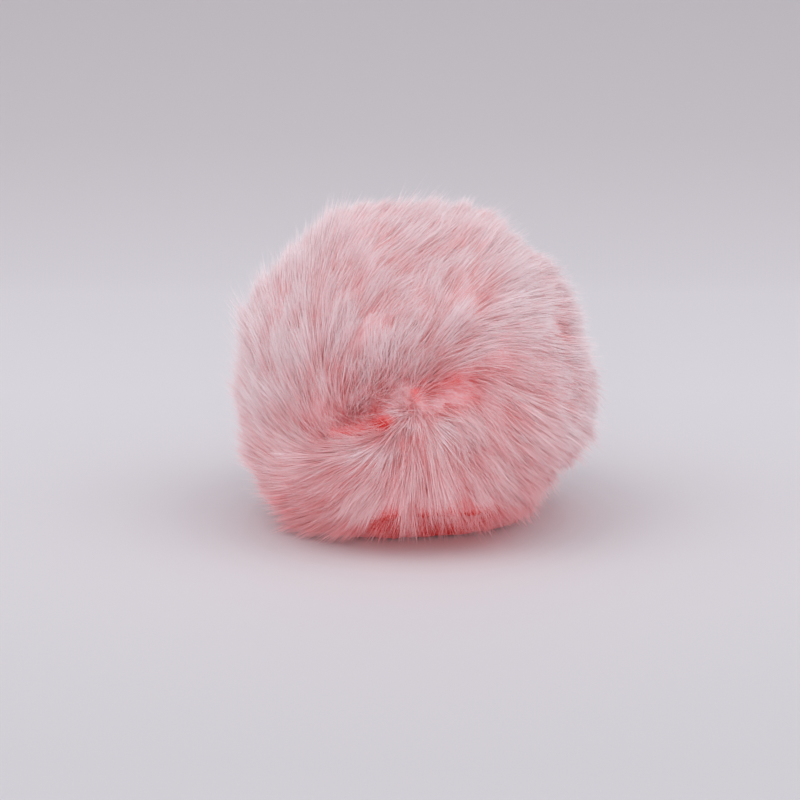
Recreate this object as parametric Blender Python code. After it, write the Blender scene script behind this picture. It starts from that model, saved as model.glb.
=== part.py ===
"""A faux-fur pom pom: one round of long-pile cloth gathered into a ball, lying on a floor.

Metres, +Z up. The floor is z = 0, and the gathered parting (the whorl) faces -Y.
The ball is one solid. Its round cloth backing carries the pile as tapered four-sided locks,
which stand apart but for their roots. All of them follow one combing rule: hair leaves the
whorl, turns clockwise round it, and lies lower near it than at the sides and the back.
"""

import math

import bmesh
import bpy
import numpy as np
from mathutils import Vector

# ---- driving sizes, in metres --------------------------------------------------------------
PILE_RADIUS = 0.0416  # from the middle of the ball to the tips of the longest locks
MIDDLE_HEIGHT = 0.0275  # the ball's middle above the floor; its weight presses the pile under it
BACKING_RADIUS = 0.0240  # the cloth that the pile stands on
DIMPLE_DEPTH = 0.0045  # how far the gathered cloth and its pile are drawn in at the whorl

# ---- where the pile parts ------------------------------------------------------------------
# Directions from the ball's middle: azimuth is to the right of -Y, elevation is above level.
WHORL_AZIMUTH = -2.2
WHORL_ELEVATION = 9.4
DIMPLE_SPREAD = 19.0  # degrees from the whorl at which the dimple has mostly gone

# ---- how far the pile leans, in degrees round the ball from root to tip ----------------------
LEAN_MOST = 43.0
LEAN_RISES_OVER = 24.0  # degrees from the whorl: none at its centre, where the hair parts
LEAN_ENDS_OVER = 25.0  # degrees from the far side, where the hair stands straight out
LEAN_BEHIND = 0.35  # share of the lean that is left behind the ball
LEAN_BEND = 1.2  # above 1, a lock leaves the cloth more upright than it ends
LEAN_STEPS = 8  # short straight steps that a lock's curve is worked out in

# ---- how far it turns clockwise from straight outward, in degrees ----------------------------
TURN_ALL_ROUND = 24.0
TURN_RISES_OVER = 12.0  # degrees from the whorl: the hair leaves its centre straight
TURN_UPPER_LEFT = 36.0  # added where the nap is brushed up over the shoulder
UPPER_LEFT_CLOCK = 150.0  # degrees anticlockwise from +X, seen from the front
UPPER_LEFT_SPREAD = 55.0

# Where the ball's outline departs from round, seen from the front: clock (degrees
# anticlockwise from +X), spread (degrees) and rise (metres).
BULGES = [
    (125.0, 34.0, 0.0009),  # the brushed shoulder
    (222.0, 18.0, 0.0026),  # pile spread on the floor at the left
    (311.0, 12.0, 0.0012),  # and at the right
    (336.0, 19.0, -0.0026),  # the flatter side above it
    (18.0, 20.0, -0.0014),
]

# Short partings beside the whorl, where the locks lie lower: azimuth, elevation, clock of
# the line, half length, half width (all in degrees) and depth (metres).
PARTINGS = [
    (8.0, 15.5, 14.0, 11.0, 5.0, 0.0035),
    (-20.0, 0.0, 12.0, 12.0, 5.0, 0.0035),
    (-5.0, -5.0, 288.0, 7.0, 4.0, 0.0025),
]

# ---- the locks -------------------------------------------------------------------------------
CELLS_PER_SIDE = 7  # the tips are laid out on a round cube: 6 x 7 x 7 cells, a lock in each
CELL_JITTER = 0.26  # of a cell's width
JITTER_SEED = 16
LOCK_SHORTEST = 0.88  # a lock ends between this share of the pile's length and all of it
# Along a lock: share of its length, and share of its cell that it fills there.
RINGS = [(0.0, 0.80), (0.36, 0.86), (0.72, 0.78), (0.91, 0.44)]
FLOOR_END_FILL = 0.62  # the same for the flat ends of the locks that the ball lies on
FLAT_SPOT_FILL = 0.92  # and for the lowest one, its small flat spot
ON_FLOOR = 1e-6  # metres: anything lower than this touches the floor

FUR_PINK = (0.69, 0.36, 0.39, 1.0)  # linear; the pale rose of the pile
FUR_ROUGHNESS = 0.85


def direction(azimuth, elevation):
    """The unit vector at these degrees right of -Y and above level."""
    a, e = math.radians(azimuth), math.radians(elevation)
    return np.array([math.sin(a) * math.cos(e), -math.cos(a) * math.cos(e), math.sin(e)])


def unit(vectors):
    return vectors / np.linalg.norm(vectors, axis=-1, keepdims=True)


def bell(degrees, spread):
    return np.exp(-((degrees / spread) ** 2))


def degrees_between(directions, axis):
    return np.degrees(np.arccos(np.clip(directions @ axis, -1.0, 1.0)))


def off_clock(directions, clock):
    """Degrees, -180 to 180, between each direction and a clock angle, seen from the front."""
    own = np.degrees(np.arctan2(directions[:, 2], directions[:, 0]))
    return (own - clock + 180.0) % 360.0 - 180.0


WHORL = direction(WHORL_AZIMUTH, WHORL_ELEVATION)


def dimple(directions):
    return DIMPLE_DEPTH * bell(degrees_between(directions, WHORL), DIMPLE_SPREAD)


def backing_radius(directions):
    return BACKING_RADIUS - dimple(directions)


def parting_depth(directions):
    """How much lower the pile's surface lies along the partings."""
    depth = np.zeros(len(directions))
    for azimuth, elevation, clock, half_length, half_width, deepest in PARTINGS:
        middle = direction(azimuth, elevation)
        right = unit(np.cross((0.0, 0.0, 1.0), middle))
        up = np.cross(middle, right)
        along = math.cos(math.radians(clock)) * right + math.sin(math.radians(clock)) * up
        beside = np.degrees(directions @ np.cross(middle, along)) / half_width
        ahead = np.degrees(directions @ along) / half_length
        facing = np.clip(directions @ middle, 0.0, 1.0)
        depth = depth + deepest * facing * np.exp(-(beside**2) - ahead**4)
    return depth


def pile_reach(directions):
    """How far the pile reaches in each direction: to its own length, or to the floor."""
    seen_from_front = directions[:, 0] ** 2 + directions[:, 2] ** 2
    reach = PILE_RADIUS - dimple(directions) - parting_depth(directions)
    for clock, spread, rise in BULGES:
        reach = reach + rise * seen_from_front * bell(off_clock(directions, clock), spread)
    return np.minimum(reach, floor_reach(directions))


def floor_reach(directions):
    return MIDDLE_HEIGHT / np.maximum(-directions[:, 2], 1e-6)


def lean(directions):
    """The way and the rate, in radians for a whole lock, at which the pile leans there."""
    cosine = (directions @ WHORL)[:, None]
    outward = directions * cosine - WHORL
    sine = np.maximum(np.linalg.norm(outward, axis=1, keepdims=True), 1e-6)
    clockwise = np.cross(directions, WHORL) / sine
    outward = outward / sine

    upper_left = bell(off_clock(directions, UPPER_LEFT_CLOCK), UPPER_LEFT_SPREAD)
    from_whorl = degrees_between(directions, WHORL)
    turn = (TURN_ALL_ROUND + TURN_UPPER_LEFT * upper_left) * (1.0 - bell(from_whorl, TURN_RISES_OVER))
    rate = LEAN_MOST * (1.0 - np.exp(-from_whorl / LEAN_RISES_OVER))
    rate = rate * (1.0 - np.exp((from_whorl - 180.0) / LEAN_ENDS_OVER))
    rate = rate * (LEAN_BEHIND + (1.0 - LEAN_BEHIND) * (1.0 + cosine[:, 0]) / 2.0)
    # Short locks, such as those under the ball, have less room to lean.
    room = (pile_reach(directions) - backing_radius(directions)) / (PILE_RADIUS - BACKING_RADIUS)
    turn = np.radians(turn)[:, None]
    way = np.cos(turn) * outward + np.sin(turn) * clockwise
    return np.radians(rate * room)[:, None] * way


def along_lock(tips, share):
    """Where hair that ends in these directions is, at this share of its length.

    The hair's direction is followed back from its tip, so no two hairs can cross.
    """
    directions = tips
    step = (1.0 - share**LEAN_BEND) / LEAN_STEPS
    for _ in range(LEAN_STEPS):
        halfway = unit(directions - 0.5 * step * lean(directions))
        directions = unit(directions - step * lean(halfway))
    inner = backing_radius(directions)
    radius = inner + (pile_reach(directions) - inner) * share
    return directions * radius[:, None] + (0.0, 0.0, MIDDLE_HEIGHT)


def round_cube():
    """A unit sphere of four-sided cells of nearly one size, slightly uneven."""
    bm = bmesh.new()
    bmesh.ops.create_cube(bm, size=2.0)
    bmesh.ops.subdivide_edges(bm, edges=bm.edges[:], cuts=CELLS_PER_SIDE - 1, use_grid_fill=True)
    rng = np.random.default_rng(JITTER_SEED)
    most = CELL_JITTER * math.radians(90.0 / CELLS_PER_SIDE)
    for vert in bm.verts:
        even = Vector([math.tan(place * math.pi / 4.0) for place in vert.co]).normalized()
        vert.co = (even + Vector(rng.uniform(-most, most, 3))).normalized()
    return bm


def turn_onto_whorl(bm):
    """Turn the sphere a little, so that a corner between four cells lies on the whorl."""
    whorl = Vector(WHORL)
    nearest = min(bm.verts, key=lambda vert: (vert.co - whorl).length)
    turn = nearest.co.rotation_difference(whorl)
    for vert in bm.verts:
        vert.co = turn @ vert.co


def drawn_in(corners, fill):
    """A cell's corners, drawn in towards its middle."""
    middle = corners.mean(axis=0)
    return unit(middle + (corners - middle) * fill)


def pompom_mesh():
    bm = round_cube()
    turn_onto_whorl(bm)
    # Every corner remembers its cell's corner, and every face how far its lock goes and, where
    # the lock lands on the floor, how much of its cell the flat foot fills.
    cell_corner = bm.verts.layers.float_vector.new("cell_corner")
    ends_at = bm.faces.layers.float.new("ends_at")
    foot_fill = bm.faces.layers.float.new("foot_fill")
    for vert in bm.verts:
        vert[cell_corner] = vert.co

    def ring_of(face, fill, share):
        """Where the corners of a lock's cross-section go, at this share of the pile's length."""
        corners = np.array([vert[cell_corner] for vert in face.verts])
        return along_lock(drawn_in(corners, fill), share)

    def move_to(verts, points):
        for vert, point in zip(verts, points):
            vert.co = point

    locks = bm.faces[:]
    rng = np.random.default_rng(JITTER_SEED + 1)
    for face in locks:
        lands = (ring_of(face, FLOOR_END_FILL, 1.0)[:, 2] < ON_FLOOR).all()
        face[ends_at] = 1.0 if lands else rng.uniform(LOCK_SHORTEST, 1.0)
        face[foot_fill] = FLOOR_END_FILL if lands else 0.0
    min(locks, key=lambda face: face.calc_center_median().z)[foot_fill] = FLAT_SPOT_FILL

    cloth = bm.verts[:]
    move_to(cloth, along_lock(np.array([vert.co for vert in cloth]), 0.0))
    for share, fill in RINGS:
        locks = bmesh.ops.extrude_discrete_faces(bm, faces=locks)["faces"]
        for face in locks:
            move_to(face.verts, ring_of(face, max(fill, face[foot_fill]), share * face[ends_at]))

    landing = [face for face in locks if face[foot_fill] > 0.0]
    pointed = [face for face in locks if face[foot_fill] == 0.0]
    for foot in bmesh.ops.extrude_discrete_faces(bm, faces=landing)["faces"]:
        move_to(foot.verts, ring_of(foot, foot[foot_fill], 1.0) * (1.0, 1.0, 0.0))
    for face in pointed:
        tip = ring_of(face, 0.0, face[ends_at])[0]
        bmesh.ops.poke(bm, faces=[face])["verts"][0].co = tip

    # The origin is under the middle of the ball's box.
    places = np.array([vert.co for vert in bm.verts])
    middle = (places.min(axis=0) + places.max(axis=0)) / 2.0
    bmesh.ops.translate(bm, verts=bm.verts[:], vec=(-middle[0], -middle[1], 0.0))
    mesh = bpy.data.meshes.new("pompom")
    bm.to_mesh(mesh)
    bm.free()
    return mesh


def fur_material():
    material = bpy.data.materials.new("pink_fur")
    material.use_nodes = True
    shader = material.node_tree.nodes["Principled BSDF"]
    shader.inputs["Base Color"].default_value = FUR_PINK
    shader.inputs["Roughness"].default_value = FUR_ROUGHNESS
    shader.inputs["Metallic"].default_value = 0.0
    return material


for old in list(bpy.data.objects):
    bpy.data.objects.remove(old, do_unlink=True)

pompom = bpy.data.objects.new("pompom", pompom_mesh())
pompom.data.materials.append(fur_material())
bpy.context.scene.collection.objects.link(pompom)
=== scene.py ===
"""A pink faux-fur pom pom on a pale table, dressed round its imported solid.

Metres, +Z up, in the solid's own frame: the table is z = 0 and the gathered whorl faces -Y.
"""

import math

import bmesh
import bpy
import numpy as np
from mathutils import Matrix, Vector, noise


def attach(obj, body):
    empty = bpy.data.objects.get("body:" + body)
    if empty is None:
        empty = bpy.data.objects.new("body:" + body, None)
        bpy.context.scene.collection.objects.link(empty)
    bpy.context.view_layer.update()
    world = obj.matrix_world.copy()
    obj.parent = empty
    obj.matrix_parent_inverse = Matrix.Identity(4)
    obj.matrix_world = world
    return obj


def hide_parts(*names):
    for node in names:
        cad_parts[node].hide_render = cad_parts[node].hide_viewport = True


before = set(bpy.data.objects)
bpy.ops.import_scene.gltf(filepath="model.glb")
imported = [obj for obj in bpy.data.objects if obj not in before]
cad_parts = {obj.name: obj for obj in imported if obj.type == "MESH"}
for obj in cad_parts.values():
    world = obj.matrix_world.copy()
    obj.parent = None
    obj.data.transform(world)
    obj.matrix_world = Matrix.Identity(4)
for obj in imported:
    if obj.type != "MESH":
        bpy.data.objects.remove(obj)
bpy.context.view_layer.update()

# ---- The camera ------------------------------------------------------------------------------
# It looks slightly down on the whorl from the front, a little to the left of the ball's middle
# and below it, through a longish lens.
BALL_MIDDLE = Vector((0.0001, -0.0011, 0.0275))
CAMERA_ELEVATION = math.radians(12.5)
CAMERA_DISTANCE = 0.42
VIEW_WIDTH = 0.173  # across the picture, at the ball
VIEW_OFF_MIDDLE = (-0.0040, -0.0022)  # of the picture's centre from the ball's: right and up
SENSOR = 36.0

camera_data = bpy.data.cameras.new("camera")
camera_data.sensor_width = SENSOR
camera_data.lens = SENSOR * CAMERA_DISTANCE / VIEW_WIDTH
camera_data.clip_start = 0.01
camera = bpy.data.objects.new("camera", camera_data)
bpy.context.scene.collection.objects.link(camera)
bpy.context.scene.camera = camera
back = Vector((0.0, -math.cos(CAMERA_ELEVATION), math.sin(CAMERA_ELEVATION)))
view_up = Vector((0.0, math.sin(CAMERA_ELEVATION), math.cos(CAMERA_ELEVATION)))
aim = BALL_MIDDLE + Vector((1.0, 0.0, 0.0)) * VIEW_OFF_MIDDLE[0] + view_up * VIEW_OFF_MIDDLE[1]
camera.location = aim + back * CAMERA_DISTANCE
camera.rotation_euler = back.to_track_quat("Z", "Y").to_euler()

# ---- The table and the backdrop --------------------------------------------------------------
# One pale sheet: flat under the ball, then swept up behind it in a wide bend, as in a small
# product studio. It is not part of the object.
SHEET_HALF_WIDTH = 2.0
SHEET_FRONT = -1.2
BEND_STARTS = 0.30
BEND_RADIUS = 0.45
BEND_STEPS = 24
SHEET_TOP = 2.0
PAPER_SHADE_FROM = -0.14
PAPER_SHADE_OVER = 0.723


class Wire:
    """A socket in a node tree. Arithmetic on wires adds the Math or Vector Math nodes."""

    def __init__(self, tree, socket=None):
        self.tree = tree
        self.socket = socket

    def add(self, kind, settings=None, sockets=None, out=0):
        """A new node: its settings first, then the values or links of its sockets."""
        node = self.tree.nodes.new(kind)
        for name, value in (settings or {}).items():
            if name == "stops":
                ramp = node.color_ramp
                while len(ramp.elements) < len(value):
                    ramp.elements.new(1.0)
                for element, (place, colour) in zip(ramp.elements, value):
                    element.position = place
                    element.color = (*colour, 1.0)
            else:
                setattr(node, name, value)
        for name, value in (sockets or {}).items():
            if isinstance(value, Wire):
                self.tree.links.new(value.socket, node.inputs[name])
            else:
                node.inputs[name].default_value = value
        return Wire(self.tree, node.outputs[out])

    def parts(self):
        """The three numbers of a vector."""
        split = self.add("ShaderNodeSeparateXYZ", None, {0: self})
        return [Wire(self.tree, output) for output in split.socket.node.outputs]

    def maths(self, operation, *others):
        values = (self, *others)
        wires = [value for value in values if isinstance(value, Wire)]
        vector = any(wire.socket.type == "VECTOR" for wire in wires)
        kind = "ShaderNodeVectorMath" if vector else "ShaderNodeMath"
        if vector:
            values = [(v, v, v) if isinstance(v, (int, float)) else v for v in values]
        return self.add(kind, {"operation": operation}, dict(enumerate(values)))

    def __add__(self, other):
        return self.maths("ADD", other)

    def __radd__(self, other):
        return self.maths("ADD", other)

    def __sub__(self, other):
        return self.maths("SUBTRACT", other)

    def __rsub__(self, other):
        return (self * -1.0) + other

    def __mul__(self, other):
        return self.maths("MULTIPLY", other)

    def __rmul__(self, other):
        return self.maths("MULTIPLY", other)

    def __truediv__(self, other):
        return self.maths("DIVIDE", other)


def material_with(name, roughness):
    """(material, its Principled shader, a wire to build its nodes from)."""
    material = bpy.data.materials.new(name)
    material.use_nodes = True
    shader = material.node_tree.nodes["Principled BSDF"]
    shader.inputs["Roughness"].default_value = roughness
    return material, shader, Wire(material.node_tree)


def drive(shader, socket, wire):
    """Let the wire set that socket of the shader."""
    wire.tree.links.new(wire.socket, shader.inputs[socket])


def piece_from(name, vertices, faces, material):
    """An object of one smooth mesh and one material, put in the scene."""
    mesh = bpy.data.meshes.new(name)
    mesh.from_pydata(vertices, [], faces)
    mesh.materials.append(material)
    mesh.shade_smooth()
    piece = bpy.data.objects.new(name, mesh)
    bpy.context.scene.collection.objects.link(piece)
    return piece


profile = [(SHEET_FRONT, 0.0), (BEND_STARTS, 0.0)]
for step in range(1, BEND_STEPS + 1):
    angle = math.pi / 2.0 * step / BEND_STEPS
    rise = BEND_RADIUS * (1.0 - math.cos(angle))
    profile.append((BEND_STARTS + BEND_RADIUS * math.sin(angle), rise))
profile.append((BEND_STARTS + BEND_RADIUS, SHEET_TOP))
rows = len(profile)
sheet_points = [(x, y, z) for x in (-SHEET_HALF_WIDTH, SHEET_HALF_WIDTH) for y, z in profile]
sheet_faces = [(row, row + rows, row + rows + 1, row + 1) for row in range(rows - 1)]
paper, paper_shader, paper_wire = material_with("pale_paper", 0.7)
_, depth, _ = paper_wire.add("ShaderNodeTexCoord", out=3).parts()
# Painted shade on the sheet, from the front of the view, where its start lies, to the far one, over
# the bend: a little darker at the front and darker again up the bend.
paper_painted_shade = {
    "stops": [
        (0.0, (0.71, 0.70, 0.725)),
        (0.12, (0.765, 0.755, 0.78)),
        (0.36, (0.835, 0.82, 0.85)),
        (0.60, (0.845, 0.825, 0.855)),
        (0.87, (0.64, 0.615, 0.635)),
        (1.0, (0.575, 0.55, 0.57)),
    ]
}
tone = depth.add("ShaderNodeValToRGB", paper_painted_shade, {0: (depth - PAPER_SHADE_FROM) / PAPER_SHADE_OVER})
drive(paper_shader, "Base Color", tone)
backdrop = piece_from("table_and_backdrop", sheet_points, sheet_faces, paper)

# ---- The lights ------------------------------------------------------------------------------
# Four soft square panels, one at each side, one above and the brightest far in front, and pale
# air all round, so that the ball's shadow on the sheet stays faint.
LIGHTS = [
    # name, azimuth and elevation in degrees, distance, width, watts
    ("left_panel", -62.0, 58.0, 0.9, 0.55, 1.15),
    ("right_panel", 62.0, 58.0, 0.9, 0.55, 1.0),
    ("top_panel", 0.0, 85.0, 1.0, 0.8, 0.5),
    ("front_panel", -3.0, 15.0, 2.0, 0.8, 8.0),
]
for name, azimuth, elevation, distance, width, watts in LIGHTS:
    a, e = math.radians(azimuth), math.radians(elevation)
    way = Vector((math.sin(a) * math.cos(e), -math.cos(a) * math.cos(e), math.sin(e)))
    lamp_data = bpy.data.lights.new(name, "AREA")
    lamp_data.size = width
    lamp_data.energy = watts
    lamp = bpy.data.objects.new(name, lamp_data)
    bpy.context.scene.collection.objects.link(lamp)
    lamp.location = BALL_MIDDLE + way * distance
    lamp.rotation_euler = way.to_track_quat("Z", "Y").to_euler()

world = bpy.data.worlds.new("studio_air")
world.use_nodes = True
world.node_tree.nodes["Background"].inputs["Color"].default_value = (0.97, 0.95, 1.0, 1.0)
world.node_tree.nodes["Background"].inputs["Strength"].default_value = 0.66
bpy.context.scene.world = world
bpy.context.scene.view_settings.view_transform = "Standard"
bpy.context.scene.cycles.max_bounces = 8
bpy.context.scene.cycles.diffuse_bounces = 8

# ---- The pile --------------------------------------------------------------------------------
# Tapered wisps of fine synthetic fibre on a round of knitted backing, which is gathered into a
# ball and combed out of its whorl. All follow one rule, worked back from where their tips lie,
# so that the tips cover the ball evenly.
PILE_RADIUS = 0.0405  # from the ball's middle to the tips
MIDDLE_HEIGHT = BALL_MIDDLE.z
BACKING_RADIUS = 0.0240
DIMPLE_DEPTH = 0.0028  # how far cloth and pile are drawn in at the whorl
DIMPLE_SPREAD = 19.0  # degrees
WHORL_AZIMUTH = -2.2
WHORL_ELEVATION = 9.4


def direction(azimuth, elevation):
    """The unit vector at these degrees right of -Y and above level."""
    a, e = math.radians(azimuth), math.radians(elevation)
    return np.array([math.sin(a) * math.cos(e), -math.cos(a) * math.cos(e), math.sin(e)])


def unit(vectors):
    return vectors / np.linalg.norm(vectors, axis=-1, keepdims=True)


def bell(degrees, spread):
    return np.exp(-((degrees / spread) ** 2))


def degrees_between(directions, axis):
    return np.degrees(np.arccos(np.clip(directions @ axis, -1.0, 1.0)))


WHORL = direction(WHORL_AZIMUTH, WHORL_ELEVATION)


def dimple(directions):
    return DIMPLE_DEPTH * bell(degrees_between(directions, WHORL), DIMPLE_SPREAD)


def backing_radius(directions):
    return BACKING_RADIUS - dimple(directions)


def round_mesh(subdivisions):
    """(unit directions, faces) of an even ball of triangles."""
    bm = bmesh.new()
    bmesh.ops.create_icosphere(bm, subdivisions=subdivisions, radius=1.0)
    directions = unit(np.array([vert.co for vert in bm.verts]))
    faces = [[vert.index for vert in face.verts] for face in bm.faces]
    bm.free()
    return directions, faces


ball_directions, ball_faces = round_mesh(subdivisions=6)

LEAN_MOST = 33.0  # degrees round the ball, from root to tip
LEAN_RISES_OVER = 9.0  # degrees from the middle of the combing
LEAN_ENDS_OVER = 25.0  # degrees from the far side
LEAN_BEHIND = 0.7  # share of the lean that is left there
LEAN_BEND = 1.5  # above 1, a hair leaves the cloth more upright than it ends
RISE_BEND = 1.5  # the same for its height
LEAN_STEPS = 10
TURN_BEHIND = 24.0  # degrees clockwise from straight out, at the back
# The middle of the combing lies a little lower and to the left of the whorl's own dimple.
COMB_AZIMUTH = -4.4
COMB_ELEVATION = 6.6
# How the pile is combed, in degrees: clock round that middle, then how far the hair there is
# turned clockwise from straight out, near the middle, part way out and far out.
COMBED = [
    (0.0, 40.0, 48.0, 20.0),
    (8.0, 42.0, 58.0, 38.0),
    (20.0, 34.0, 48.0, 42.0),
    (40.0, 25.0, 41.0, 33.0),
    (55.0, 20.0, 26.0, 20.0),
    (68.0, 18.0, 20.0, 12.0),
    (80.0, 25.0, 24.0, 36.0),
    (95.0, 45.0, 52.0, 70.0),
    (108.0, 55.0, 52.0, 80.0),
    (120.0, 62.0, 56.0, 70.0),
    (135.0, 70.0, 62.0, 48.0),
    (150.0, 85.0, 80.0, 56.0),
    (168.0, 100.0, 86.0, 74.0),
    (184.0, 112.0, 102.0, 86.0),
    (197.0, 112.0, 98.0, 72.0),
    (207.0, 108.0, 76.0, 60.0),
    (217.0, 100.0, 14.0, 40.0),
    (230.0, 62.0, 5.0, 36.0),
    (245.0, 12.0, 18.0, 32.0),
    (256.0, 14.0, 20.0, 30.0),
    (272.0, 18.0, 7.0, 8.0),
    (292.0, 20.0, 2.0, 0.0),
    (312.0, 22.0, 18.0, 2.0),
    (325.0, 26.0, 26.0, 6.0),
    (345.0, 38.0, 34.0, 18.0),
]
# Those three places and the back's own turn are this many degrees from the middle.
COMBED_AT = (10.0, 28.0, 50.0)
BEHIND_STARTS = 100.0
# Where the outline departs from round: clock and spread (degrees, seen from the front) and
# rise (metres).
BULGES = [
    (111.0, 8.0, 0.0024),
    (162.0, 8.0, -0.0010),
    (140.0, 24.0, 0.0008),
    (184.0, 18.0, -0.0016),
    (222.0, 18.0, 0.0010),
    (311.0, 12.0, 0.0012),
    (331.0, 15.0, -0.0036),
    (350.0, 12.0, -0.0010),
    (18.0, 24.0, -0.0030),
    (55.0, 12.0, -0.0008),
    (70.0, 8.0, 0.0016),
    (82.0, 8.0, -0.0008),
]
# Where the hair parts beside the whorl: azimuth, elevation, clock of the line, half length,
# half width (all in degrees) and depth (metres).
PARTINGS = [
    (8.0, 15.5, 14.0, 11.0, 5.0, 0.0027),
    (-20.0, 0.0, 12.0, 12.0, 5.0, 0.0014),
    (-5.0, -5.0, 288.0, 7.0, 4.0, 0.0016),
]


def off_clock(directions, clock):
    """Degrees, -180 to 180, between each direction and a clock angle, seen from the front."""
    own = np.degrees(np.arctan2(directions[:, 2], directions[:, 0]))
    return (own - clock + 180.0) % 360.0 - 180.0


def parting_depth(directions):
    depth = np.zeros(len(directions))
    for azimuth, elevation, clock, half_length, half_width, deepest in PARTINGS:
        middle = direction(azimuth, elevation)
        right = unit(np.cross((0.0, 0.0, 1.0), middle))
        up = np.cross(middle, right)
        along = math.cos(math.radians(clock)) * right + math.sin(math.radians(clock)) * up
        beside = np.degrees(directions @ np.cross(middle, along)) / half_width
        ahead = np.degrees(directions @ along) / half_length
        facing = np.clip(directions @ middle, 0.0, 1.0)
        depth = depth + deepest * facing * np.exp(-(beside**2) - ahead**4)
    return depth


# Low down the pile is shorter and turns under the ball: azimuth (degrees) and by how much
# (metres), then how far down it starts and is full, as the downward part of a direction.
TURNS_UNDER = [
    (-180.0, 0.0030),
    (-110.0, 0.0020),
    (-70.0, 0.0010),
    (-30.0, 0.0030),
    (0.0, 0.0055),
    (45.0, 0.0050),
    (95.0, 0.0050),
    (140.0, 0.0030),
]
UNDER_STARTS = 0.30
UNDER_FULL = 0.58


def rising(values, low, high):
    """0 up to low, 1 from high on and even between."""
    return np.clip((values - low) / (high - low), 0.0, 1.0)


def pile_reach(directions):
    """How far the pile reaches in each direction: to its own length, or to the table."""
    seen_from_front = directions[:, 0] ** 2 + directions[:, 2] ** 2
    reach = PILE_RADIUS - dimple(directions) - parting_depth(directions)
    azimuth = np.degrees(np.arctan2(directions[:, 0], -directions[:, 1]))
    under = np.interp(azimuth, *np.array(TURNS_UNDER).T, period=360.0)
    reach = reach - under * rising(-directions[:, 2], UNDER_STARTS, UNDER_FULL)
    for clock, spread, rise in BULGES:
        reach = reach + rise * seen_from_front * bell(off_clock(directions, clock), spread)
    return np.minimum(reach, MIDDLE_HEIGHT / np.maximum(-directions[:, 2], 1e-6))


COMB = direction(COMB_AZIMUTH, COMB_ELEVATION)


def lean(directions):
    """The way and the rate, in radians for a whole hair, at which the pile leans there."""
    cosine = (directions @ COMB)[:, None]
    outward = directions * cosine - COMB
    sine = np.maximum(np.linalg.norm(outward, axis=1, keepdims=True), 1e-6)
    clockwise = np.cross(directions, COMB) / sine
    outward = outward / sine
    from_comb = degrees_between(directions, COMB)
    right = unit(np.cross((0.0, 0.0, 1.0), COMB))
    clock = np.degrees(np.arctan2(directions @ np.cross(COMB, right), directions @ right))
    clocks, *rings = np.array(COMBED).T
    near, middle, far = (np.interp(clock, clocks, turns, period=360.0) for turns in rings)
    turn = near + (middle - near) * rising(from_comb, COMBED_AT[0], COMBED_AT[1])
    turn = turn + (far - middle) * rising(from_comb, COMBED_AT[1], COMBED_AT[2])
    turn = turn + (TURN_BEHIND - turn) * rising(from_comb, COMBED_AT[2], BEHIND_STARTS)
    rate = LEAN_MOST * (1.0 - np.exp(-from_comb / LEAN_RISES_OVER))
    rate = rate * (1.0 - np.exp((from_comb - 180.0) / LEAN_ENDS_OVER))
    rate = rate * (LEAN_BEHIND + (1.0 - LEAN_BEHIND) * (1.0 + cosine[:, 0]) / 2.0)
    room = (pile_reach(directions) - backing_radius(directions)) / (PILE_RADIUS - BACKING_RADIUS)
    turn = np.radians(turn)[:, None]
    way = np.cos(turn) * outward + np.sin(turn) * clockwise
    return np.radians(rate * room)[:, None] * way


def along_hair(tips, share):
    """Where hair that ends in these directions is, at this share of its length."""
    directions = tips
    step = (1.0 - share**LEAN_BEND) / LEAN_STEPS
    for _ in range(LEAN_STEPS):
        halfway = unit(directions - 0.5 * step * lean(directions))
        directions = unit(directions - step * lean(halfway))
    inner = backing_radius(directions)
    radius = inner + (pile_reach(directions) - inner) * (1.0 - (1.0 - share) ** RISE_BEND)
    return directions * radius[:, None] + np.array(BALL_MIDDLE)


# Strokes of painted light (+), where the pile is drawn paler, and of painted shade (-), where it is
# drawn deeper, as in the partings, the gaps and at the foot: azimuth and elevation of their two ends,
# half width (all in degrees) and how much.
LIGHT_AND_SHADE_STROKES = [
    (-27.0, -2.6, -9.6, 1.4, 2.6, -0.75),  # the parting at the whorl's lower left
    (-14.0, 6.6, -11.0, 1.0, 3.0, -0.6),  # its end beside the whorl
    (-2.2, 11.8, 12.2, 15.5, 2.2, -0.75),  # the parting at the whorl's upper right
    (12.2, 16.9, 29.0, 22.9, 2.6, -0.3),  # where it fades
    (-6.0, -1.9, -4.8, -7.8, 1.4, -0.6),  # the short one below the whorl
    (-0.7, 8.6, 1.5, 6.0, 1.8, -0.7),  # the whorl's own roots
    (-22.0, -10.0, -12.0, -11.5, 5.0, 0.35),  # pale tufts at its lower left
    (3.0, 2.0, 10.0, -8.0, 5.0, 0.35),  # and at its lower right
    (-3.7, 3.5, -3.7, -0.5, 1.8, 0.5),  # and straight below it
    (-9.0, -40.0, 20.0, -40.0, 10.0, -1.0),  # the shaded foot of the ball
    (-48.0, -30.0, -40.0, -36.0, 3.5, -0.5),  # a gap in the fringe at the left
    (-75.0, 12.0, -75.0, 25.0, 24.0, 0.30),  # the left side
    (75.0, 5.0, 75.0, 20.0, 26.0, 0.36),  # the right side
    (-3.0, 10.0, -3.0, 22.0, 14.0, 0.10),  # above the whorl
    (-45.0, -18.0, -28.0, -26.0, 7.0, -0.16),  # the lower left
    (0.0, 48.0, 0.0, 60.0, 16.0, -0.10),  # the top
]
# The pile is painted paler above TONE_MIDDLE and deeper below it, by so much a metre: painted light on
# the upper part and painted shade on the lower.
PAINTED_LIGHT_UPWARDS = 7.0
TONE_MIDDLE = 0.033
# Below the fringe the ball turns under to the table, and there its pile is painted deeper: painted
# shade on the underside. It starts and is full at these downward parts of a direction.
LOW_BAND_STARTS = 0.52
LOW_BAND_FULL = 0.62
LOW_BAND_PAINTED_SHADE = -0.12


def low_band(directions):
    return rising(-directions[:, 2], LOW_BAND_STARTS, LOW_BAND_FULL)


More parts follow.
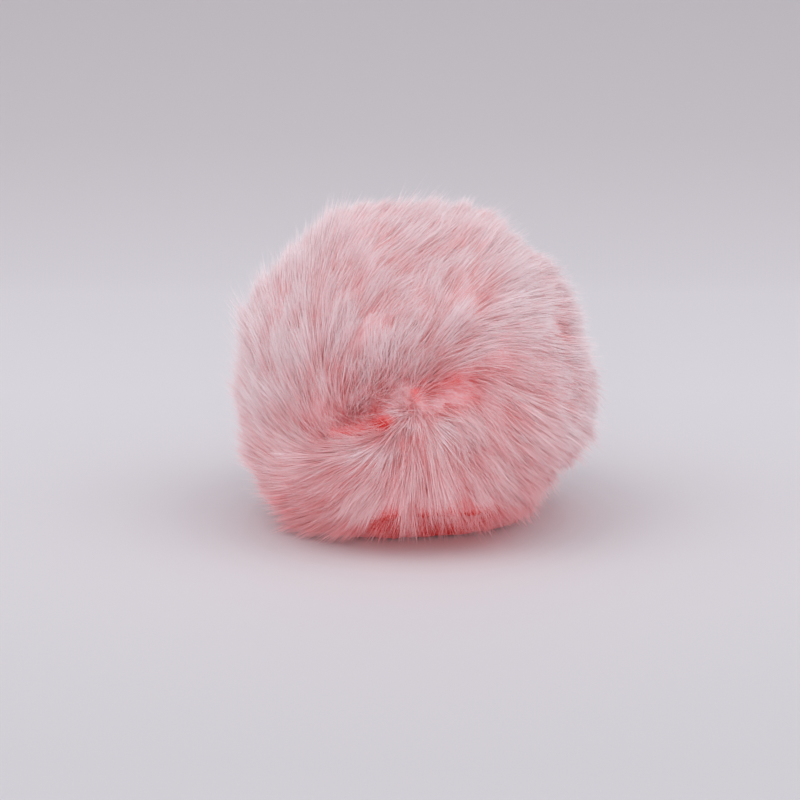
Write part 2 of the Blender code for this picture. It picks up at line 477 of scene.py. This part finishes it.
def strokes_at(directions):
    tone = np.zeros(len(directions))
    for azimuth, elevation, to_azimuth, to_elevation, half_width, change in LIGHT_AND_SHADE_STROKES:
        start, end = direction(azimuth, elevation), direction(to_azimuth, to_elevation)
        share = np.clip((directions - start) @ (end - start) / np.sum((end - start) ** 2), 0.0, 1.0)
        away = np.linalg.norm(directions - start - share[:, None] * (end - start), axis=1)
        tone = tone + change * bell(np.degrees(away), half_width)
    return tone


# The hair that comes out in a deep stroke has only this share of its change.
TIPS_SHARE = 0.65


def painted_light_and_shade_at(tips, coming_out, share):
    """How much paler or deeper than its own mixture the pile is painted there: its painted light and
    shade.
    """
    height = MIDDLE_HEIGHT + PILE_RADIUS * tips[:, 2]
    tone = PAINTED_LIGHT_UPWARDS * (height - TONE_MIDDLE) + LOW_BAND_PAINTED_SHADE * low_band(tips)
    tone = tone + np.maximum(strokes_at(tips), 0.0)
    return tone + share * np.minimum(strokes_at(coming_out), 0.0)


# In the deepest strokes this share of the hair is combed aside, and the felted base shows.
PARTED_SPARSE = 0.4


def parted(directions):
    return np.clip(-strokes_at(directions), 0.0, 1.0)


def twice_areas(triangles):
    first, second, third = (triangles[:, corner] for corner in range(3))
    return np.linalg.norm(np.cross(second - first, third - first), axis=1)


REGIONS = ("whorl", "left", "right", "top_left", "top_right", "back", "under")
# They are told apart by the upward or backward part of a direction, and the whorl's own piece
# by the degrees from it.
TOP_ABOVE = 0.5
BACK_BEHIND = 0.35
UNDER_BELOW = -0.66
WHORL_WITHIN = 36.0


def region_of(tips):
    """Which of REGIONS the hair that ends in each direction belongs to, counted from 0."""
    region = np.where(tips[:, 0] < 0.0, 1, 2)
    region = np.where(tips[:, 2] > TOP_ABOVE, region + 2, region)
    region = np.where(tips[:, 1] > BACK_BEHIND, 5, region)
    region = np.where(tips[:, 2] < UNDER_BELOW, 6, region)
    return np.where(degrees_between(tips, WHORL) < WHORL_WITHIN, 0, region)


# Below this share of its length a hair is buried among the felted ones, and isn't drawn.
START_SHARE = 0.64
# Where the hair is combed apart, fewer tips reach the surface, within these limits.
CROWDING_LIMITS = (0.85, 1.15)
# Round the middle of the combing the hair is ruffled by so much more than elsewhere, and
# behind the ball, from and to these backward parts of a direction, by less.
LOOSE_MOST = 0.9
LOOSE_SPREAD = 26.0
LOOSE_BEHIND = 0.4
BEHIND_FROM = 0.1
BEHIND_TO = 0.6


def ball_of_tips(name, directions, faces):
    """A ball that carries, at each tip, where the hair that ends there is rooted and bends."""
    mesh = bpy.data.meshes.new(name)
    tip_places = along_hair(directions, 1.0)
    root_places = along_hair(directions, 0.0)
    mesh.from_pydata(tip_places.tolist(), [], faces)
    starts = along_hair(directions, START_SHARE)
    bends = along_hair(directions, (START_SHARE + 1.0) / 2.0)
    for place, points in (("root", starts), ("bend", bends)):
        carried = mesh.attributes.new(place, "FLOAT_VECTOR", "POINT")
        carried.data.foreach_set("vector", points.astype(np.float32).ravel())
    corners = np.array(faces)
    middle = np.array(BALL_MIDDLE)
    areas = [twice_areas(unit(points - middle)[corners]) for points in (root_places, tip_places)]
    crowding = np.clip(areas[0] / areas[1], *CROWDING_LIMITS)
    centres = unit(directions[corners].sum(axis=1))
    coming_out = unit(unit(starts - middle)[corners].sum(axis=1))
    crowding = crowding * (1.0 - PARTED_SPARSE * parted(coming_out))
    loose = 1.0 + LOOSE_MOST * bell(degrees_between(centres, COMB), LOOSE_SPREAD)
    loose = loose + (LOOSE_BEHIND - loose) * rising(centres[:, 1], BEHIND_FROM, BEHIND_TO)
    # tone: the painted light and shade of the pile at each face, which its hair takes into its tint.
    tone = painted_light_and_shade_at(centres, coming_out, TIPS_SHARE)
    on_faces = {"crowding": crowding, "tone": tone, "loose": loose, "region": region_of(centres)}
    for quality, values in on_faces.items():
        whole = quality == "region"
        carried = mesh.attributes.new(quality, "INT" if whole else "FLOAT", "FACE")
        carried.data.foreach_set("value", values.astype(np.int32 if whole else np.float32))
    return mesh


# Halfway along, a hair is drawn, swayed and strayed by these shares of what its tip is.
BEND_PULL = 0.45
BEND_SWAY = 0.35
BEND_STRAY = 0.3
# Of its raggedness, this share makes a hair longer and the rest shorter.
RAGGED_LONGER = 0.35
# How far the tints of the palest and the deepest wisp are apart, and a hair's from its wisp's.
WISP_TINTS = 0.22
HAIR_TINT = 0.12
PALEST_AND_DEEPEST = (0.97, 0.03)
MOST_MIDDLES = 400000.0  # of tufts or wisps, per square metre
ABOVE_TABLE = 0.0002
# On the bake map a hair's corners lie a little apart, and its tip just short of the edge.
CORNERS_APART = 0.01
CORNERS_TURNED = 0.3
CHART_FILLED = 0.98


def pile_tree():
    """The nodes that grow the hair of a ball of tips, drawn into wisps and these into tufts."""
    tree = bpy.data.node_groups.new("pile", "GeometryNodeTree")
    kinds = {
        "Tips": "Geometry",
        "Region": "Int",
        "Per square metre": "Float",
        "Seed": "Int",
        "Thickness": "Float",
        "Shortest": "Float",
        "Longest": "Float",
        "Ragged": "Float",
        "Spread height": "Float",
        "Tuft size": "Float",
        "Tuft sway": "Float",
        "Tuft pull": "Float",
        "Wisp size": "Float",
        "Wisp sway": "Float",
        "Wisp pull": "Float",
        "Wander": "Float",
        "Tint": "Float",
        "Fur": "Material",
    }
    for name, kind in kinds.items():
        tree.interface.new_socket(name=name, in_out="INPUT", socket_type=f"NodeSocket{kind}")
    tree.interface.new_socket(name="Pile", in_out="OUTPUT", socket_type="NodeSocketGeometry")
    group = tree.nodes.new("NodeGroupInput")
    given = {name: Wire(tree, group.outputs[name]) for name in kinds}
    start = Wire(tree)

    def named(name, kind="FLOAT_VECTOR"):
        return start.add("GeometryNodeInputNamedAttribute", {"data_type": kind}, {"Name": name})

    def store(geometry, name, value, kind="FLOAT_VECTOR", domain="POINT"):
        settings = {"data_type": kind, "domain": domain}
        sockets = {"Geometry": geometry, "Name": name, "Value": value}
        return start.add("GeometryNodeStoreNamedAttribute", settings, sockets)

    def chance(seed, low, high):
        """A random number for each point, from low to high."""
        sockets = {2: low, 3: high, "Seed": given["Seed"] + seed}
        return start.add("FunctionNodeRandomValue", {"data_type": "FLOAT"}, sockets, 1)

    def scatter_vector(seed):
        low, high = (-1.0, -1.0, -1.0), (1.0, 1.0, 1.0)
        sockets = {0: low, 1: high, "Seed": given["Seed"] + seed}
        return start.add("FunctionNodeRandomValue", {"data_type": "FLOAT_VECTOR"}, sockets)

    position = start.add("GeometryNodeInputPosition")

    def centres(size, sway, seed):
        """The middles of tufts or wisps, this far apart, each with its own length and tint."""
        settings = {"distribute_method": "POISSON"}
        sockets = {"Mesh": given["Tips"], "Distance Min": size, "Density Max": MOST_MIDDLES}
        sockets["Seed"] = seed
        points = start.add("GeometryNodeDistributePointsOnFaces", settings, sockets)
        points = store(points, "tip", position)
        points = store(points, "sway", scatter_vector(seed + 1) * sway * named("loose", "FLOAT"))
        return store(points, "own", chance(seed, 0.0, 1.0), "FLOAT")

    def drawn_to(points, middles, pull):
        """The same points, each hair drawn towards the nearest middle, its tip the most."""
        sockets = {"Geometry": middles, "Sample Position": position}
        nearest = start.add("GeometryNodeSampleNearest", None, sockets)

        def there(name, kind="FLOAT_VECTOR"):
            settings = {"data_type": kind, "domain": "POINT"}
            sockets = {"Geometry": middles, "Value": named(name, kind), "Index": nearest}
            return start.add("GeometryNodeSampleIndex", settings, sockets)

        points = store(points, "shared", there("own", "FLOAT"), "FLOAT")
        sway = there("sway")
        bend = named("bend") + (there("bend") - named("bend")) * pull * BEND_PULL + sway * BEND_SWAY
        points = store(points, "bend", bend)
        return store(points, "tip", named("tip") + (there("tip") - named("tip")) * pull + sway)

    tufts = centres(given["Tuft size"], given["Tuft sway"], 3)
    wisps = drawn_to(centres(given["Wisp size"], given["Wisp sway"], 5), tufts, given["Tuft pull"])

    same = {"data_type": "INT", "operation": "EQUAL"}
    here = start.add("FunctionNodeCompare", same, {2: named("region", "INT"), 3: given["Region"]})
    all_round = start.add("FunctionNodeCompare", same, {2: -1, 3: given["Region"]})
    here = start.add("FunctionNodeBooleanMath", {"operation": "OR"}, {0: here, 1: all_round})
    density = given["Per square metre"] * named("crowding", "FLOAT")
    settings = {"distribute_method": "RANDOM"}
    sockets = {"Mesh": given["Tips"], "Selection": here, "Density": density, "Seed": given["Seed"]}
    hairs = start.add("GeometryNodeDistributePointsOnFaces", settings, sockets)
    hairs = store(hairs, "tip", position)
    tufted = named("loose", "FLOAT").maths("MINIMUM", 1.0)
    hairs = drawn_to(hairs, tufts, given["Tuft pull"] * tufted * chance(11, 0.5, 1.0))
    hairs = drawn_to(hairs, wisps, given["Wisp pull"] * tufted * chance(12, 0.2, 1.0))
    stray = scatter_vector(13) * given["Wander"] * named("loose", "FLOAT")
    hairs = store(hairs, "bend", named("bend") + stray * BEND_STRAY)
    hairs = store(hairs, "tip", named("tip") + stray)
    length = given["Shortest"] + (given["Longest"] - given["Shortest"]) * named("shared", "FLOAT")
    length = length + (RAGGED_LONGER - chance(14, 0.0, 1.0)) * given["Ragged"]
    # Near the table the pile is longer than the room it has, and spreads out on it.
    _, _, tip_height = named("tip").parts()
    clear = (tip_height / given["Spread height"]).maths("MINIMUM", 1.0).maths("MAXIMUM", 0.0)
    length = 1.0 - (1.0 - length) * clear
    hairs = store(hairs, "length", length, "FLOAT")
    tint = given["Tint"] + (named("shared", "FLOAT") - 0.5) * WISP_TINTS
    # Into its tint goes, too, the painted light and shade of the pile there.
    tint = tint + chance(15, -HAIR_TINT, HAIR_TINT) + named("tone", "FLOAT")
    palest, deepest = PALEST_AND_DEEPEST
    tint = tint.maths("MAXIMUM", deepest).maths("MINIMUM", palest)
    hairs = store(hairs, "tint", tint, "FLOAT")
    hairs = store(hairs, "roll", chance(16, 0.0, 2.0 * math.pi), "FLOAT")

    # One hair: a three-sided spike, 1 high. Its corners keep their turn and height.
    sockets = {"Vertices": 3, "Radius Top": 0.0, "Radius Bottom": 1.0, "Depth": 1.0}
    spike = start.add("GeometryNodeMeshCone", {"fill_type": "NGON"}, sockets)
    x, y, height = position.parts()
    spike = store(spike, "corner", y.maths("ARCTAN2", x), "FLOAT")
    spike = store(spike, "height", height, "FLOAT")
    pile = start.add("GeometryNodeInstanceOnPoints", None, {"Points": hairs, "Instance": spike})
    pile = start.add("GeometryNodeRealizeInstances", None, {"Geometry": pile})

    # Each spike is laid from its root to where the hair's curve ends at its own length.
    height = named("height", "FLOAT")
    along = height * named("length", "FLOAT")
    root, bend, tip = named("root"), named("bend"), named("tip")
    steer = bend * 2.0 - (root + tip) * 0.5
    left = 1.0 - along
    centre = root * (left * left) + steer * (left * along * 2.0) + tip * (along * along)
    tangent = (steer - root) * left + (tip - steer) * along
    outward = centre - start.add("FunctionNodeInputVector", {"vector": BALL_MIDDLE})
    side = tangent.maths("CROSS_PRODUCT", outward).maths("NORMALIZE")
    rise = side.maths("CROSS_PRODUCT", tangent).maths("NORMALIZE")
    turn = named("corner", "FLOAT") + named("roll", "FLOAT")
    radius = given["Thickness"] * 0.5 * (1.0 - height)
    place = centre + (side * turn.maths("COSINE") + rise * turn.maths("SINE")) * radius
    x, y, z = place.parts()
    lifted = start.add("ShaderNodeCombineXYZ", None, {0: x, 1: y, 2: z.maths("MAXIMUM", ABOVE_TABLE)})
    pile = start.add("GeometryNodeSetPosition", None, {"Geometry": pile, "Position": lifted})

    # The bake map: across it lies the hair's tint, and up it the way from root to tip.
    apart = (named("corner", "FLOAT") + CORNERS_TURNED).maths("SINE") * CORNERS_APART
    upward = START_SHARE + height * (1.0 - START_SHARE) * named("length", "FLOAT") * CHART_FILLED
    sockets = {0: named("tint", "FLOAT") + apart, 1: upward}
    chart = start.add("ShaderNodeCombineXYZ", None, sockets)
    pile = store(pile, "OFBake", chart, "FLOAT2", "CORNER")
    pile = start.add("GeometryNodeSetShadeSmooth", None, {"Geometry": pile, "Shade Smooth": False})
    pile = start.add("GeometryNodeSetMaterial", None, {"Geometry": pile, "Material": given["Fur"]})
    output = tree.nodes.new("NodeGroupOutput")
    tree.links.new(pile.socket, output.inputs["Pile"])
    return tree


# The colours of the deepest and of the palest hair, by share of its length. Both are painted deeper
# towards the root, as painted shade in the depths of the pile.
FUR_DEEP = [
    (0.66, (0.84, 0.08, 0.08)),
    (0.76, (0.88, 0.15, 0.15)),
    (0.86, (0.91, 0.28, 0.29)),
    (1.0, (0.93, 0.44, 0.46)),
]
FUR_PALE = [
    (0.66, (0.88, 0.24, 0.24)),
    (0.74, (0.92, 0.56, 0.57)),
    (0.83, (0.95, 0.83, 0.85)),
    (1.0, (0.97, 0.93, 0.94)),
]

fur, fur_shader, fur_wire = material_with("pink_pile", 0.55)
fur_shader.inputs["Specular IOR Level"].default_value = 0.0
tint, to_tip, _ = fur_wire.add("ShaderNodeUVMap", {"uv_map": "OFBake"}).parts()
deep = fur_wire.add("ShaderNodeValToRGB", {"stops": FUR_DEEP}, {0: to_tip})
pale = fur_wire.add("ShaderNodeValToRGB", {"stops": FUR_PALE}, {0: to_tip})
mixture = fur_wire.add("ShaderNodeMix", {"data_type": "RGBA"}, {0: tint, 6: deep, 7: pale}, 2)
drive(fur_shader, "Base Color", mixture)

tips = ball_of_tips("combed_tips", ball_directions, ball_faces)
tree = pile_tree()
PILE = {
    "Per square metre": 11200000.0,
    "Thickness": 0.00024,
    "Shortest": 0.70,
    "Longest": 0.96,
    "Ragged": 0.45,
    "Spread height": 0.012,
    "Tuft size": 0.0075,
    "Tuft sway": 0.0021,
    "Tuft pull": 0.20,
    "Wisp size": 0.0024,
    "Wisp sway": 0.0017,
    "Wisp pull": 0.52,
    "Wander": 0.0022,
    "Tint": 0.75,
    "Fur": fur,
}


def grown(name, tips, settings):
    """A piece of pile, grown on the ball of tips by the node tree and made a plain mesh."""
    grower = bpy.data.objects.new(name + "_grower", tips)
    bpy.context.scene.collection.objects.link(grower)
    modifier = grower.modifiers.new("pile", "NODES")
    modifier.node_group = tree
    for socket in tree.interface.items_tree:
        if socket.name in settings:
            modifier[socket.identifier] = settings[socket.name]
    graph = bpy.context.evaluated_depsgraph_get()
    mesh = bpy.data.meshes.new_from_object(grower.evaluated_get(graph))
    mesh.name = name
    bpy.data.objects.remove(grower)
    piece = bpy.data.objects.new(name, mesh)
    bpy.context.scene.collection.objects.link(piece)
    return piece


# Behind and under the ball the hair is a little coarser.
COARSER = {"Per square metre": 7000000.0, "Thickness": 0.00028}
for index, region in enumerate(REGIONS):
    coarser = COARSER if region in ("back", "under") else {}
    own = {"Region": index, "Seed": 100 * (index + 1)}
    piece = grown("pile_" + region, tips, {**PILE, **coarser, **own})
    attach(piece, "root")
    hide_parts("pompom")

# ---- The felted base -------------------------------------------------------------------------
# Under the tips the fibres are so dense that they felt together on their knitted backing. Its lumpy
# surface shows between the tufts and in the partings. It carries the pile's painted light and shade,
# painted coral in the partings and at the foot, where shade falls, and paler above, with a fine grain
# of its own.
FELT_SHARE = 0.70  # of a hair's length, where it lies
FELT_SHARE_LOW = 0.82  # the same under the fringe
FELT_LUMPS = 0.0005
FELT_LUMP_SIZE = 0.0035
FELT_RISE = 0.0034  # in the partings, where the hair over it is combed aside
FELT_ABOVE_TABLE = 0.0004
FELT_GRAIN = 1300.0  # grains in a metre
FELT_TONE = 0.34
FELT_TONE_OF_GRAIN = 0.6
FELT_PAINTED_LIGHT_AND_SHADE_SHARE = 0.7
# The deep coral at the low end is painted shade, reached in the partings and at the foot.
FELT_COLOURS = [
    (0.0, (0.72, 0.065, 0.06)),
    (0.10, (0.83, 0.19, 0.19)),
    (0.40, (0.86, 0.36, 0.37)),
    (0.62, (0.87, 0.55, 0.57)),
    (0.87, (0.88, 0.68, 0.70)),
]

felt, felt_shader, felt_wire = material_with("felted_base", 0.9)
felt_shader.inputs["Specular IOR Level"].default_value = 0.0
felt_places = along_hair(ball_directions, FELT_SHARE)
low_places = along_hair(ball_directions, FELT_SHARE_LOW)
felt_places += (low_places - felt_places) * low_band(ball_directions)[:, None]
felt_directions = unit(felt_places - np.array(BALL_MIDDLE))
risen = parted(felt_directions) * (1.0 - low_band(felt_directions)) * FELT_RISE
for index, place in enumerate(felt_places):
    lump = noise.noise(Vector(place) / FELT_LUMP_SIZE) * FELT_LUMPS + risen[index]
    felt_places[index] = place + (place - np.array(BALL_MIDDLE)) * (lump / PILE_RADIUS)
felt_places[:, 2] = np.maximum(felt_places[:, 2], FELT_ABOVE_TABLE)
felted = piece_from("felted_base", felt_places.tolist(), ball_faces, felt)
carried = felted.data.attributes.new("tone", "FLOAT", "POINT")
tones = painted_light_and_shade_at(ball_directions, felt_directions, 1.0)
carried.data.foreach_set("value", tones.astype(np.float32))
spot = felt_wire.add("ShaderNodeTexCoord", out=3)
sockets = {"Vector": spot, "Scale": FELT_GRAIN, "Detail": 3.0}
grain = felt_wire.add("ShaderNodeTexNoise", sockets=sockets)
# The tone attribute brings in the pile's painted light and shade.
painted_light_and_shade = felt_wire.add("ShaderNodeAttribute", {"attribute_name": "tone"}, out=2)
mixture = grain * FELT_TONE_OF_GRAIN + painted_light_and_shade * FELT_PAINTED_LIGHT_AND_SHADE_SHARE + FELT_TONE
tone = felt_wire.add("ShaderNodeValToRGB", {"stops": FELT_COLOURS}, {0: mixture})
drive(felt_shader, "Base Color", tone)
tangle = {"Strength": 0.6, "Distance": 0.0004, "Height": grain}
drive(felt_shader, "Normal", felt_wire.add("ShaderNodeBump", None, tangle))
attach(felted, "root")

# ---- The stray hairs -------------------------------------------------------------------------
# The finest and longest fibres of the same pile, which the combing leaves out of its tufts.
# They stand out one by one and soften the ball's outline.
STRAYS = {
    "Region": -1,
    "Seed": 1700,
    "Per square metre": 1200000.0,
    "Thickness": 0.00011,
    "Shortest": 0.86,
    "Longest": 1.10,
    "Ragged": 0.40,
    "Tuft pull": 0.1,
    "Wisp pull": 0.1,
    "Wander": 0.0032,
    "Tint": 0.85,
}
strays = grown("stray_hairs", tips, {**PILE, **STRAYS})
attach(strays, "root")
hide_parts("pompom")
